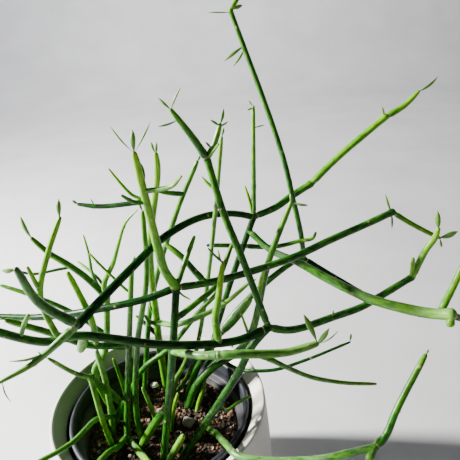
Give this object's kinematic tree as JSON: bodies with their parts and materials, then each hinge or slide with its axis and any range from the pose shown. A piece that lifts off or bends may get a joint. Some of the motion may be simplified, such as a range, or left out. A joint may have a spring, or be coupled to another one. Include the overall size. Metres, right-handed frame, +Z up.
{
  "type": "potted euphorbia",
  "caption": "Spreading clump of jointed pencil-thin green stems in gritty soil, in a plastic grow pot that stands inside a round cream planter.",
  "frame": {"origin": "centre of the planter's flat base, on the surface it stands on", "axes": "+Z up; -Y is the front, the side the clump is seen from; +X is to the right, where the stems reach furthest"},
  "size_m": [0.3928, 0.2055, 0.4652],
  "materials": {
    "cream_planter": "matte",
    "black_plastic": "satin",
    "gritty_soil": "matte",
    "pumice": "matte",
    "grey_stone": "matte",
    "stem_green": "satin",
    "stem_lime": "satin",
    "stem_pale": "satin",
    "leaf_green": "satin"
  },
  "bodies": {
    "root": {"back_centre_main": "stem_green", "back_cross_main": "stem_green", "back_left_main": "stem_green", "back_right_main": "stem_green", "back_riser": "stem_pale", "back_slender_main": "stem_pale", "bright_riser": "stem_lime", "bright_riser_leaf": "leaf_green", "bright_riser_side_shoot": "stem_green", "centre_cross_arm": "stem_green", "centre_riser": "stem_green", "centre_riser_fork": "stem_pale", "centre_riser_tip": "stem_green", "front_centre_main": "stem_green", "front_left_arm": "stem_green", "front_low_stem": "stem_green", "front_pale_arm": "stem_pale", "front_pale_arm_tip": "stem_pale", "front_pale_leaf": "leaf_green", "front_right_main": "stem_green", "grey_stone": "grey_stone", "left_back_arm": "stem_green", "left_back_low_arm": "stem_green", "left_back_main": "stem_lime", "left_centre_main": "stem_green", "left_crossing_arm": "stem_green", "left_front_main": "stem_green", "left_long_arm": "stem_green", "left_low_main": "stem_lime", "left_low_main_tip": "stem_pale", "left_low_tip": "stem_pale", "left_near_tip": "stem_green", "left_rim_stem": "stem_green", "left_speckled_arm": "stem_green", "left_upright_shoot": "stem_lime", "lime_main": "stem_lime", "lime_shoot": "stem_lime", "nursery_pot": "black_plastic", "pale_cross_arm": "stem_pale", "planter": "cream_planter", "right_dark_arm": "stem_green", "right_hanging_arm": "stem_green", "right_high_arm": "stem_green", "right_high_arm_middle": "stem_lime", "right_high_arm_tip": "stem_lime", "right_long_arm": "stem_green", "right_long_arm_tip": "stem_lime", "right_long_leaf": "leaf_green", "right_low_arm": "stem_green", "right_low_arm_tip": "stem_lime", "right_low_leaf": "leaf_green", "right_pale_arm": "stem_pale", "right_pale_arm_fork": "stem_lime", "right_rim_stem": "stem_pale", "right_rim_stem_tip": "stem_green", "soil": "gritty_soil", "speckled_main": "stem_green", "tall_riser": "stem_green", "tall_riser_tip": "stem_lime", "white_pumice": "pumice"}
  },
  "joints": []
}
